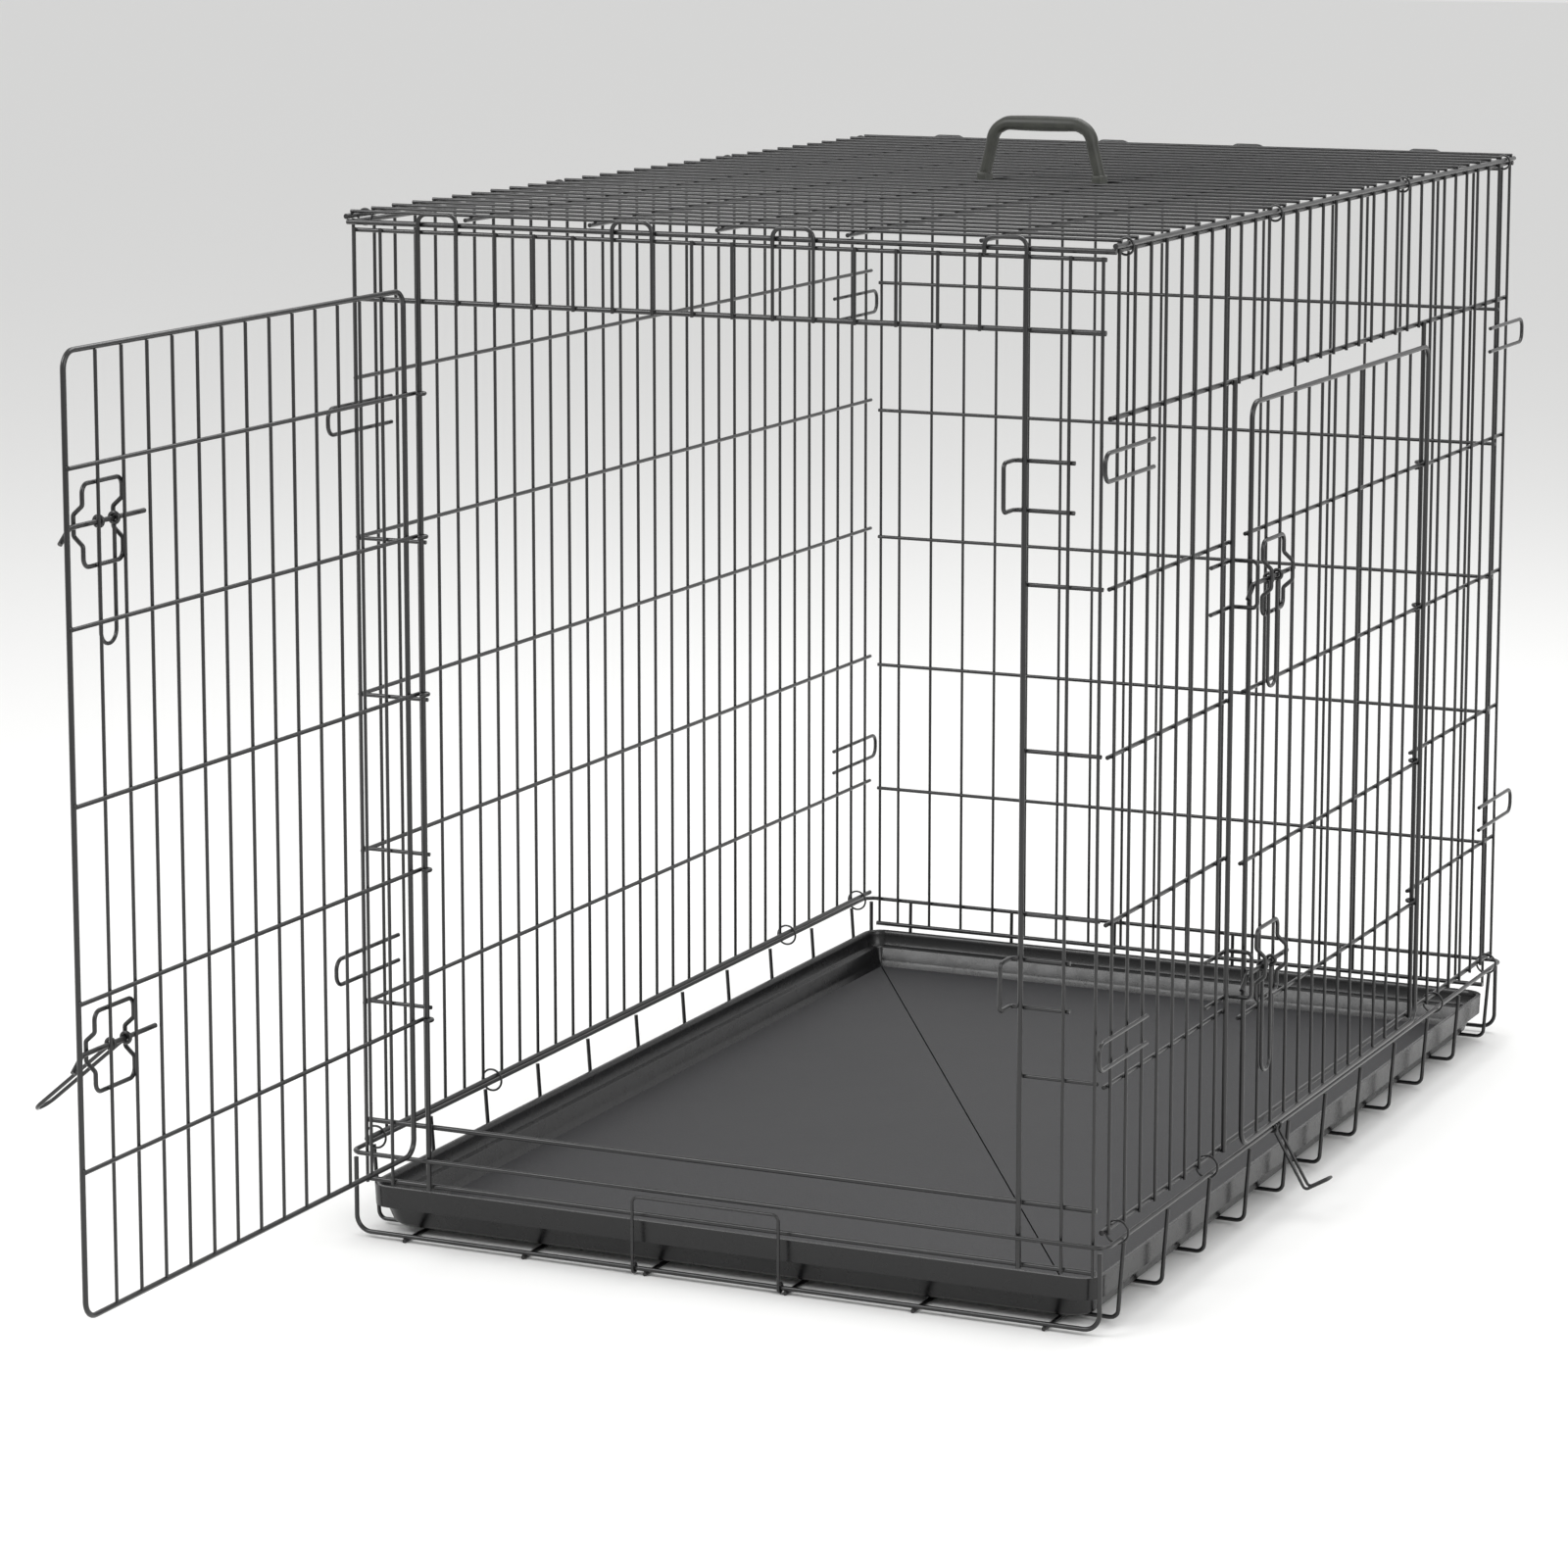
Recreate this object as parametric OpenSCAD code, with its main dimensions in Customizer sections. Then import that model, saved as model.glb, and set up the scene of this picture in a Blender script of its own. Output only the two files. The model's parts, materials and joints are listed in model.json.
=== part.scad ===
// Folding wire crate for a large dog: a wire basket base with a slide-out tray,
// wire panels on four sides and on top, a door in the front panel and one in the
// right panel, two slide bolts on each door, and a carrying handle on the roof.
// X runs across the front, +Y towards the back, Z up. The origin is on the floor
// under the middle of the crate. The front door is drawn open.

/* [Crate] */
// Width across the front panel
crate_w = 768; // [700:1:800]
// Length from the front panel to the rear panel
crate_l = 1219; // [1190:1:1250]
// Height of the roof runners above the floor
roof_z = 977; // [975:1:990]
// Angle that the front door stands open at
front_open = 90; // [0:5:135]

/* [Wire] */
// Diameter of the jambs, headers, door frames and other heavy wires
heavy_d = 5; // [4.6:0.1:5.2]
// Diameter of the rails, guides, strikes and hooks
rail_d = 4; // [3.6:0.1:4]
// Diameter of the upright bars and roof slats
bar_d = 3.2; // [2.6:0.1:3.4]
// Diameter of the base rail and its end loops
base_d = 4.5; // [4:0.1:4.5]
// Diameter of the slide bolts
bolt_d = 4.5; // [4:0.1:4.5]
// Diameter of the bolt handles
grip_d = 3.5; // [3:0.1:3.5]
// Diameter of the tray stop and the fold latch
stop_d = 3; // [2.5:0.1:3]
// Diameter of the closed ring clips
clip_d = 2.2; // [1.8:0.1:2.4]

/* [Doors] */
// Spacing of the upright bars in the end panels and doors
bar_pitch = 40; // [38:0.5:41]
// Gap between the free edge of a door and its first bar
latch_gap = 47; // [44:1:50]
// Travel of a slide bolt
bolt_travel = 25; // [20:1:25]
// Angle that the lower front bolt's handle is swung out to
lower_grip_swing = 50; // [0:5:90]

/* [Tray] */
// Height of the tray rim above the floor
tray_top = 50; // [44:1:52]
// Thickness of the tray's moulded wall
tray_wall = 2.5; // [2:0.5:3]

/* [Hidden] */

steel = "#1c1c1e";
wire_fn = 16;
bend_fn = 24;
// Hairline between the lengths of a bent wire and between welded wires
seam = 0.02;
// Clearance between pieces that move past each other
play = 0.35;

half_w = crate_w / 2;
half_l = crate_l / 2;
// Depth from a panel's outside face to where its uprights meet its rails
weld = heavy_d;
jamb_depth = weld - heavy_d / 2 - seam / 2;
bar_depth = weld - bar_d / 2 - seam / 2;
rail_depth = weld + rail_d / 2 + seam / 2;
header_depth = weld + heavy_d / 2 + seam / 2;

// End panels
end_bottom_z = 56;
end_top_z = 965;
sill_z = 114;
header_z = 901;
end_edge_x = half_w - 12.5;
rear_edge_x = half_w - 16.6;
outer_bar_x = 344;
right_bar_x = 341;
left_jamb_x = -304;
right_jamb_x = 300;
end_rail_z = [231, 379, 527, 676];
rear_rail_z = [218, 365, 516, 664, 812];
loop_x = [-284, -84, 76, 280];
loop_rise = 17;
loop_depth = rail_d / 2 + 1.4;
loop_bend = 9;

// Side panels
side_bottom_z = 93;
side_top_z = roof_z - heavy_d;
side_bar_top_z = side_top_z + heavy_d / 2 - 0.2;
side_header_z = 826;
side_rail_z = [227, 375, 526, 676];
side_end = 18 - half_l;
side_bars = 31;
side_pitch = -2 * side_end / (side_bars - 1);
rear_jamb_y = 290.5;
front_jamb_y = -289.5;
side_inset = 11.3;
roof_clip_gap = [0, 10, 20, 29];
base_clip_gap = [0, 6, 24, 29];
clip_play = 0.2;

// Roof
runner_x = [-256, -128, 0, 128, 256];
roof_runner_z = roof_z + (heavy_d - rail_d) / 2;
roof_edge_x = half_w - heavy_d / 2;
roof_end_inset = 8.5;
roof_runner_inset = 6;
slat_inset = 1;
slat_z = roof_z + heavy_d / 2 + bar_d / 2 + seam;
hook_z = [250, 775];
hook_back = 95;
hook_out = 25;
hook_gap = 25;
hook_bend = 10;

// Base
base_rail_z = 83;
base_out = base_d / 2 + 0.05;
base_bend = 12;
end_loop_inset = 3.5;
end_loop_bend = 15;
runner_z = rail_d / 2;
cross_z = runner_z + rail_d + seam;
loop_z = rail_d + base_d / 2 + seam;
base_runner_x = [-328, -200, -72, 72, 200, 328];
cross_wires = 11;
cross_pitch = 113.4;
flare = 5.3;
runner_nose = 5;
runner_heel = 4;
runner_tip = 2.15;
runner_bend = 8;

// Doors: u runs from the hinge wire to the free edge, v outwards from the hinge wire
hook_r = heavy_d / 2 + play + rail_d / 2;
door_rail_v = hook_r;
door_bar_v = door_rail_v + rail_d / 2 + bar_d / 2 + seam;
door_frame_v = door_rail_v + rail_d / 2 + heavy_d / 2 + seam;
door_hinge_u = 12;
edge_gap = 22.5;
front_door_u = right_jamb_x - left_jamb_x - edge_gap;
side_door_u = rear_jamb_y - front_jamb_y - edge_gap;
front_door_z = [91, 912];
side_door_z = [92, 805];
front_door_rail_z = [220, 365, 533, 682, 816];
side_door_rail_z = [217, 367, 532, 682];
frame_bend = 15;

// Slide bolts
front_latch_z = [316, 764];
side_latch_z = [262, 636];
guide_near = 28;
guide_w = 61;
guide_h = 70;
guide_bend = 8;
bump_foot = 17;
bump_top = 9;
bump_bend = 4;
guide_v = door_bar_v + bar_d / 2 + rail_d / 2 + seam;
ring_r = bolt_d / 2 + play + grip_d / 2;
bolt_v = door_bar_v + bar_d / 2 + play + ring_r + grip_d / 2;
bump_v = bolt_v + bolt_d / 2 + play + rail_d / 2;
bolt_len = 130;
bolt_tip = [15, -12];
bolt_bend = 6;
grip_w = 24;
grip_len = 105;
grip_from_edge = 71;
strike_h = 44;
strike_back = 57;
strike_u = edge_gap / 2;
strike_bend = 5;

// Tray
tray_bottom = loop_z + base_d / 2 + 0.4;
tray_half_w = half_w - 10;
tray_front = 5 - half_l;
tray_back = half_l - 12;
tray_step_z = 30;
tray_step = 8;
tray_corner = 22;

// Tray stop
stop_x = [-84, 66];
stop_top_z = 76;
stop_bend = 6;
eye_r = base_d / 2 + 0.3 + stop_d / 2;

// Fold latch
fold_latch_y = -154.5;
fold_latch_w = 12;
fold_latch_lean = 30;
fold_latch_len = 68;
fold_latch_tip = 27;
fold_latch_bend = 4;

// Carrying handle
handle_x = 64;
handle_y = side_end + 15.5 * side_pitch;
handle_foot = 14;
handle_depth = 20;
handle_rise = 70;
handle_grip = 15;
handle_span = 64;
handle_base_z = roof_z - 6;
handle_outer_r = 14;
handle_inner_r = 8;
handle_outer_lean = 9;
handle_inner_lean = 18;
foot_play = 0.2;
cut = 20;

function unit(v) = v / norm(v);

// Straight wire from a to b
module rod(a, b, d) {
    v = b - a;
    translate(a)
        rotate([0, acos(v.z / norm(v)), atan2(v.y, v.x)])
            cylinder(h = norm(v), d = d, $fn = wire_fn);
}

// Quarter or other part turn of a wire, starting at a and heading along dir,
// with the centre of the turn towards side
module turn(a, dir, side, r, angle, d) {
    z = cross(-side, dir);
    c = a + side * r;
    multmatrix([
        [-side.x, dir.x, z.x, c.x],
        [-side.y, dir.y, z.y, c.y],
        [-side.z, dir.z, z.z, c.z],
        [0, 0, 0, 1]
    ])
        rotate_extrude(angle = angle, $fn = bend_fn * 2)
            translate([r, 0])
                circle(d = d, $fn = wire_fn);
}

// Wire bent through a list of points
module wire(points, d, r) {
    last = len(points) - 1;
    trim = [for (i = [0 : last])
        i == 0 || i == last ? 0
            : r * tan(acos(unit(points[i] - points[i - 1]) * unit(points[i + 1] - points[i])) / 2) + seam];
    for (i = [0 : last - 1]) {
        dir = unit(points[i + 1] - points[i]);
        rod(points[i] + dir * trim[i], points[i + 1] - dir * trim[i + 1], d);
    }
    for (i = [1 : last - 1]) {
        before = unit(points[i] - points[i - 1]);
        after = unit(points[i + 1] - points[i]);
        side = unit(after - before * (before * after));
        turn(points[i] - before * (trim[i] - seam), before, side, r, acos(before * after), d);
    }
}

// Upright and level wires of a panel
module upright(x, y, z1, z2, d) { rod([x, y, z1], [x, y, z2], d); }
module level_x(y, z, x1, x2, d) { rod([x1, y, z], [x2, y, z], d); }
module level_y(x, z, y1, y2, d) { rod([x, y1, z], [x, y2, z], d); }

function end_bars() = [for (x = [-outer_bar_x : bar_pitch : outer_bar_x]) x];
function is_jamb(x) = abs(x - left_jamb_x) < heavy_d || abs(x - right_jamb_x) < heavy_d;
function is_over_door(x) = x > left_jamb_x && x < right_jamb_x && !is_jamb(x);
function side_y(i) = side_end + i * side_pitch;
function is_over_side_door(y) = y > front_jamb_y && y < rear_jamb_y;

// Inverted U loops that stand above the top wire of an end panel
module top_loops(y) {
    for (x = loop_x)
        wire([
            [x - bar_pitch / 2, y, end_top_z + heavy_d / 2 + seam],
            [x - bar_pitch / 2, y, end_top_z + loop_rise],
            [x + bar_pitch / 2, y, end_top_z + loop_rise],
            [x + bar_pitch / 2, y, end_top_z + heavy_d / 2 + seam]
        ], rail_d, loop_bend);
}

module front_panel_uprights() {
    y = bar_depth - half_l;
    color(steel) {
        for (x = end_bars())
            if (is_over_door(x)) upright(x, y, header_z - heavy_d / 2, end_top_z + heavy_d / 2, bar_d);
        for (x = [-end_edge_x, -outer_bar_x, right_bar_x, end_edge_x])
            upright(x, y, end_bottom_z - heavy_d / 2, end_top_z + heavy_d / 2, bar_d);
    }
}

module front_panel_rails() {
    color(steel) {
        for (z = [end_bottom_z, sill_z, header_z])
            level_x(header_depth - half_l, z, -end_edge_x - bar_d / 2, end_edge_x + bar_d / 2, heavy_d);
        level_x(rail_depth - half_l, end_top_z, -end_edge_x - bar_d / 2, end_edge_x + bar_d / 2, rail_d);
        for (z = end_rail_z) {
            level_x(rail_depth - half_l, z, -end_edge_x - bar_d / 2, left_jamb_x + heavy_d / 2, rail_d);
            level_x(rail_depth - half_l, z, right_jamb_x - heavy_d / 2, end_edge_x + bar_d / 2, rail_d);
        }
    }
}

module front_panel_jambs() {
    color(steel)
        for (x = [left_jamb_x, right_jamb_x])
            upright(x, jamb_depth - half_l, end_bottom_z - heavy_d / 2, end_top_z + heavy_d / 2, heavy_d);
}

module front_top_loops() {
    color(steel) top_loops(loop_depth - half_l);
}

module rear_panel_uprights() {
    y = half_l - bar_depth;
    color(steel) {
        for (x = end_bars())
            upright(x, y, end_bottom_z - heavy_d / 2, end_top_z + heavy_d / 2, bar_d);
        for (x = [-rear_edge_x, rear_edge_x])
            upright(x, y, end_bottom_z - heavy_d / 2, end_top_z + heavy_d / 2, bar_d);
    }
}

module rear_panel_rails() {
    color(steel) {
        level_x(half_l - header_depth, end_bottom_z, -rear_edge_x - bar_d / 2, rear_edge_x + bar_d / 2, heavy_d);
        for (z = concat(rear_rail_z, [end_top_z]))
            level_x(half_l - rail_depth, z, -rear_edge_x - bar_d / 2, rear_edge_x + bar_d / 2, rail_d);
    }
}

module rear_top_loops() {
    color(steel) top_loops(half_l - loop_depth);
}

// Full-height uprights of a side panel; a door leaves only the short ones above it
module side_uprights(x, door) {
    for (i = [0 : side_bars - 1])
        upright(x, side_y(i),
            door && is_over_side_door(side_y(i)) ? side_header_z - heavy_d / 2 : side_bottom_z - heavy_d / 2,
            side_bar_top_z, bar_d);
}

module left_panel_uprights() {
    color(steel) side_uprights(bar_depth - half_w, false);
}

module right_panel_uprights() {
    color(steel) side_uprights(half_w - bar_depth, true);
}

module left_panel_rails() {
    color(steel) {
        for (z = [side_bottom_z, side_top_z])
            level_y(header_depth - half_w, z, side_inset - half_l, half_l - side_inset, heavy_d);
        for (z = concat(side_rail_z, [side_header_z]))
            level_y(rail_depth - half_w, z, side_inset - half_l, half_l - side_inset, rail_d);
    }
}

module right_panel_rails() {
    color(steel) {
        for (z = [side_bottom_z, side_header_z, side_top_z])
            level_y(half_w - header_depth, z, side_inset - half_l, half_l - side_inset, heavy_d);
        for (z = side_rail_z) {
            level_y(half_w - rail_depth, z, side_inset - half_l, front_jamb_y + heavy_d / 2, rail_d);
            level_y(half_w - rail_depth, z, rear_jamb_y - heavy_d / 2, half_l - side_inset, rail_d);
        }
    }
}

module right_panel_jambs() {
    color(steel)
        for (y = [front_jamb_y, rear_jamb_y])
            upright(half_w - jamb_depth, y, side_bottom_z - heavy_d / 2, side_header_z + heavy_d / 2, heavy_d);
}

module roof_runners() {
    color(steel) {
        for (x = [-roof_edge_x, roof_edge_x])
            level_y(x, roof_z, roof_runner_inset - half_l, half_l - roof_runner_inset, heavy_d);
        for (x = runner_x)
            level_y(x, roof_runner_z, roof_runner_inset - half_l, half_l - roof_runner_inset, rail_d);
        for (y = [roof_end_inset - half_l, half_l - roof_end_inset])
            level_x(y, roof_z - heavy_d - seam, -roof_edge_x, roof_edge_x, heavy_d);
    }
}

module roof_slats() {
    color(steel)
        for (i = [0 : side_bars - 1])
            level_x(side_y(i), slat_z, slat_inset - half_w, half_w - slat_inset, bar_d);
}

// Hairpins on the side panels that locate the edges of the end panels
module corner_hooks() {
    x = half_w + rail_d / 2 + seam;
    color(steel)
        for (sx = [-1, 1], sy = [-1, 1], z = hook_z)
            wire([
                [sx * x, sy * (half_l - hook_back), z],
                [sx * x, sy * (half_l + hook_out), z],
                [sx * x, sy * (half_l + hook_out), z + hook_gap],
                [sx * x, sy * (half_l - hook_back), z + hook_gap]
            ], rail_d, hook_bend);
}

// Closed ring around two wires that run along Y
module ring_clip(a, b, y) {
    middle = (a + b) / 2;
    r = norm(a - b) / 2 + heavy_d / 2 + clip_play + clip_d / 2;
    translate([middle[0], y, middle[1]])
        rotate([90, 0, 0])
            rotate_extrude($fn = bend_fn * 2)
                translate([r, 0])
                    circle(d = clip_d, $fn = wire_fn);
}

module roof_clips() {
    color(steel)
        for (sx = [-1, 1], i = roof_clip_gap)
            ring_clip([sx * (half_w - header_depth), side_top_z], [sx * roof_edge_x, roof_z], side_y(i + 0.5));
}

module base_clips() {
    color(steel)
        for (sx = [-1, 1], i = base_clip_gap)
            ring_clip([sx * (half_w - header_depth), side_bottom_z],
                [sx * (half_w + base_out), base_rail_z], side_y(i + 0.5));
}

module base_rail() {
    x = half_w + base_out;
    y = half_l + base_out;
    color(steel)
        wire([[0, -y, base_rail_z], [x, -y, base_rail_z], [x, y, base_rail_z], [-x, y, base_rail_z],
            [-x, -y, base_rail_z], [-seam, -y, base_rail_z]], base_d, base_bend);
}

module base_end_loops() {
    x = half_w - end_loop_inset;
    top = base_rail_z - base_d / 2 - seam;
    color(steel)
        for (y = [-half_l - base_out, half_l + base_out])
            wire([[-x, y, top - base_d / 2], [-x, y, loop_z], [x, y, loop_z], [x, y, top - base_d / 2]],
                base_d, end_loop_bend);
}

module base_cross_wires() {
    top = base_rail_z - base_d / 2 - seam - rail_d / 2;
    x = half_w + base_out;
    color(steel)
        for (i = [0 : cross_wires - 1]) {
            y = (i - (cross_wires - 1) / 2) * cross_pitch;
            wire([[-x, y, top], [flare - x, y, cross_z], [x - flare, y, cross_z], [x, y, top]],
                rail_d, runner_bend);
        }
}

module base_runners() {
    color(steel)
        for (x = base_runner_x)
            wire([[x, -half_l - runner_nose, runner_z], [x, half_l - runner_heel, runner_z],
                [x, half_l - runner_tip, base_rail_z]], rail_d, runner_bend);
}

// Strike: a hairpin behind the jamb whose closed end comes out past the door's edge
module strike(z) {
    reach = strike_u;
    deep = rail_depth - jamb_depth;
    wire([
        [reach + strike_back, deep, z - strike_h / 2],
        [reach, deep, z - strike_h / 2],
        [reach, -bump_v, z - strike_h / 2],
        [reach, -bump_v, z + strike_h / 2],
        [reach, deep, z + strike_h / 2],
        [reach + strike_back, deep, z + strike_h / 2]
    ], rail_d, strike_bend);
}

// A door is drawn closed, with its hinge wire on the Z axis and its free edge
// towards +X; its outside faces -Y
module front_door_place(angle = front_open) {
    translate([left_jamb_x, jamb_depth - half_l, 0]) rotate(-angle) children();
}

module side_door_place() {
    translate([half_w - jamb_depth, rear_jamb_y, 0]) rotate(-90) mirror([0, 1, 0]) children();
}

module front_door_strikes() {
    color(steel)
        front_door_place(0)
            translate([front_door_u, 0, 0])
                for (z = front_latch_z) strike(z);
}

module side_door_strikes() {
    color(steel)
        side_door_place()
            translate([side_door_u, 0, 0])
                for (z = side_latch_z) strike(z);
}

module door_frame(u, z) {
    wire([
        [u / 2, -door_frame_v, z[0]],
        [u, -door_frame_v, z[0]],
        [u, -door_frame_v, z[1]],
        [door_hinge_u, -door_frame_v, z[1]],
        [door_hinge_u, -door_frame_v, z[0]],
        [u / 2 - seam, -door_frame_v, z[0]]
    ], heavy_d, frame_bend);
}

module door_uprights(u, z) {
    for (x = [u - latch_gap : -bar_pitch : door_hinge_u + bar_pitch / 2])
        upright(x, -door_bar_v, z[0] + heavy_d / 2 + seam, z[1] - heavy_d / 2 - seam, bar_d);
}

// Level wires of a door; each ends in a hook around the hinge wire
module door_rails(u, rails) {
    for (z = rails) {
        level_x(-door_rail_v, z, seam, u + heavy_d / 2, rail_d);
        turn([0, -door_rail_v, z], [-1, 0, 0], [0, 1, 0], hook_r, 270, rail_d);
    }
}

// Frame welded to a door, with a bump in each side that the bolt slides through
module guide(u, z) {
    far = u - guide_near;
    near = far - guide_w;
    level_x(-guide_v, z + guide_h / 2, near + guide_bend + seam, far - guide_bend - seam, rail_d);
    level_x(-guide_v, z - guide_h / 2, near + guide_bend + seam, far - guide_bend - seam, rail_d);
    for (x = [near, far], s = [-1, 1])
        turn([x, -guide_v, z + s * (guide_h / 2 - guide_bend)], [0, 0, s], [x == near ? 1 : -1, 0, 0],
            guide_bend, 90, rail_d);
    for (x = [near, far])
        wire([
            [x, -guide_v, z + guide_h / 2 - guide_bend - seam],
            [x, -guide_v, z + bump_foot],
            [x, -bump_v, z + bump_top],
            [x, -bump_v, z - bump_top],
            [x, -guide_v, z - bump_foot],
            [x, -guide_v, z - guide_h / 2 + guide_bend + seam]
        ], rail_d, bump_bend);
}

module slide_bolt(u, z, thrown) {
    end = u - bolt_tip[0] + thrown;
    wire([
        [end + bolt_tip[0] - bolt_len, -bolt_v, z],
        [end, -bolt_v, z],
        [end + bolt_tip[0], -bolt_v, z + bolt_tip[1]]
    ], bolt_d, bolt_bend);
}

// Hairpin handle whose eyes turn on the bolt
module bolt_handle(u, z, thrown, swing) {
    middle = u - grip_from_edge + thrown;
    translate([middle, -bolt_v, z])
        rotate([-swing, 0, 0]) {
            for (x = [-grip_w / 2, grip_w / 2])
                translate([x, 0, 0])
                    rotate([0, 90, 0])
                        rotate_extrude($fn = bend_fn * 2)
                            translate([ring_r, 0])
                                circle(d = grip_d, $fn = wire_fn);
            wire([
                [-grip_w / 2, 0, -ring_r - grip_d / 2 - seam],
                [-grip_w / 2, 0, -grip_len],
                [grip_w / 2, 0, -grip_len],
                [grip_w / 2, 0, -ring_r - grip_d / 2 - seam]
            ], grip_d, grip_w / 2 - 0.5);
        }
}

module front_door_frame() { color(steel) front_door_place() door_frame(front_door_u, front_door_z); }
module front_door_uprights() { color(steel) front_door_place() door_uprights(front_door_u, front_door_z); }
module front_door_rails() { color(steel) front_door_place() door_rails(front_door_u, front_door_rail_z); }
module front_upper_guide() { color(steel) front_door_place() guide(front_door_u, front_latch_z[1]); }
module front_lower_guide() { color(steel) front_door_place() guide(front_door_u, front_latch_z[0]); }
module side_door_frame() { color(steel) side_door_place() door_frame(side_door_u, side_door_z); }
module side_door_uprights() { color(steel) side_door_place() door_uprights(side_door_u, side_door_z); }
module side_door_rails() { color(steel) side_door_place() door_rails(side_door_u, side_door_rail_z); }
module side_upper_guide() { color(steel) side_door_place() guide(side_door_u, side_latch_z[1]); }
module side_lower_guide() { color(steel) side_door_place() guide(side_door_u, side_latch_z[0]); }
module front_upper_bolt() { color(steel) front_door_place() slide_bolt(front_door_u, front_latch_z[1], 0); }
module front_lower_bolt() { color(steel) front_door_place() slide_bolt(front_door_u, front_latch_z[0], 0); }
module side_upper_bolt() {
    color(steel) side_door_place() slide_bolt(side_door_u, side_latch_z[1], bolt_travel);
}
module side_lower_bolt() {
    color(steel) side_door_place() slide_bolt(side_door_u, side_latch_z[0], bolt_travel);
}
module front_upper_bolt_handle() {
    color(steel) front_door_place() bolt_handle(front_door_u, front_latch_z[1], 0, 0);
}
module front_lower_bolt_handle() {
    color(steel) front_door_place() bolt_handle(front_door_u, front_latch_z[0], 0, lower_grip_swing);
}
module side_upper_bolt_handle() {
    color(steel) side_door_place() bolt_handle(side_door_u, side_latch_z[1], bolt_travel, 0);
}
module side_lower_bolt_handle() {
    color(steel) side_door_place() bolt_handle(side_door_u, side_latch_z[0], bolt_travel, 0);
}

// Box with rounded upright edges
module rounded_box(w, y1, y2, z1, z2, r) {
    translate([-w, y1 + r, z1]) cube([2 * w, y2 - y1 - 2 * r, z2 - z1]);
    translate([r - w, y1, z1]) cube([2 * (w - r), y2 - y1, z2 - z1]);
    for (x = [r - w, w - r], y = [y1 + r, y2 - r])
        translate([x, y, z1]) cylinder(h = z2 - z1, r = r, $fn = 48);
}

// Tray pan that steps out to a wider rim
module tray() {
    s = tray_step;
    t = tray_wall;
    color("#38383a")
        difference() {
            union() {
                rounded_box(tray_half_w - s, tray_front + s, tray_back - s, tray_bottom, tray_step_z + t,
                    tray_corner - s);
                rounded_box(tray_half_w, tray_front, tray_back, tray_step_z, tray_top, tray_corner);
            }
            rounded_box(tray_half_w - s - t, tray_front + s + t, tray_back - s - t, tray_bottom + t, tray_top,
                tray_corner - s - t);
            rounded_box(tray_half_w - t, tray_front + t, tray_back - t, tray_step_z + t, tray_top + 1,
                tray_corner - t);
        }
}

// U wire that hinges on the front floor wire and stands in front of the tray
module tray_stop() {
    y = -half_l - base_out - eye_r;
    color(steel) {
        wire([
            [stop_x[0], y, loop_z],
            [stop_x[0], y, stop_top_z],
            [stop_x[1], y, stop_top_z],
            [stop_x[1], y, loop_z]
        ], stop_d, stop_bend);
        for (x = stop_x)
            turn([x, y, loop_z - seam], [0, 0, -1], [0, 1, 0], eye_r, 270, stop_d);
    }
}

// Hairpin that hangs from the right base rail and holds the folded panels
module fold_latch() {
    color(steel)
        translate([half_w + base_out, fold_latch_y, base_rail_z])
            rotate([0, -fold_latch_lean, 0]) {
                for (y = [-fold_latch_w / 2, fold_latch_w / 2])
                    translate([0, y, 0])
                        rotate([90, 0, 0])
                            rotate_extrude($fn = bend_fn * 2)
                                translate([eye_r, 0])
                                    circle(d = stop_d, $fn = wire_fn);
                wire([
                    [0, -fold_latch_w / 2, -eye_r - stop_d / 2 - seam],
                    [0, -fold_latch_w / 2, -fold_latch_len],
                    [fold_latch_tip, -fold_latch_w / 2, -fold_latch_len],
                    [fold_latch_tip, fold_latch_w / 2, -fold_latch_len],
                    [0, fold_latch_w / 2, -fold_latch_len],
                    [0, fold_latch_w / 2, -eye_r - stop_d / 2 - seam]
                ], stop_d, fold_latch_bend);
            }
}

// Moulded arch that snaps onto two roof runners
module carry_handle() {
    top = roof_z + handle_rise;
    foot = handle_foot / 2;
    color("#2b2d29")
        difference() {
            translate([handle_x, handle_y + handle_depth / 2, 0])
                rotate([90, 0, 0])
                    linear_extrude(handle_depth)
                        difference() {
                            offset(r = handle_outer_r, $fn = 48) offset(delta = -handle_outer_r)
                                polygon([[-handle_span - foot, handle_base_z - cut],
                                    [handle_span + foot, handle_base_z - cut],
                                    [handle_span - handle_outer_lean, top],
                                    [handle_outer_lean - handle_span, top]]);
                            offset(r = handle_inner_r, $fn = 48) offset(delta = -handle_inner_r)
                                polygon([[foot - handle_span, handle_base_z - cut],
                                    [handle_span - foot, handle_base_z - cut],
                                    [handle_span - handle_inner_lean, top - handle_grip],
                                    [handle_inner_lean - handle_span, top - handle_grip]]);
                            translate([-2 * handle_span, handle_base_z - 2 * cut])
                                square([4 * handle_span, 2 * cut]);
                        }
            for (x = [handle_x - handle_span, handle_x + handle_span])
                level_y(x, roof_runner_z, handle_y - handle_depth, handle_y + handle_depth,
                    rail_d + 2 * foot_play);
        }
}

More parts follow.
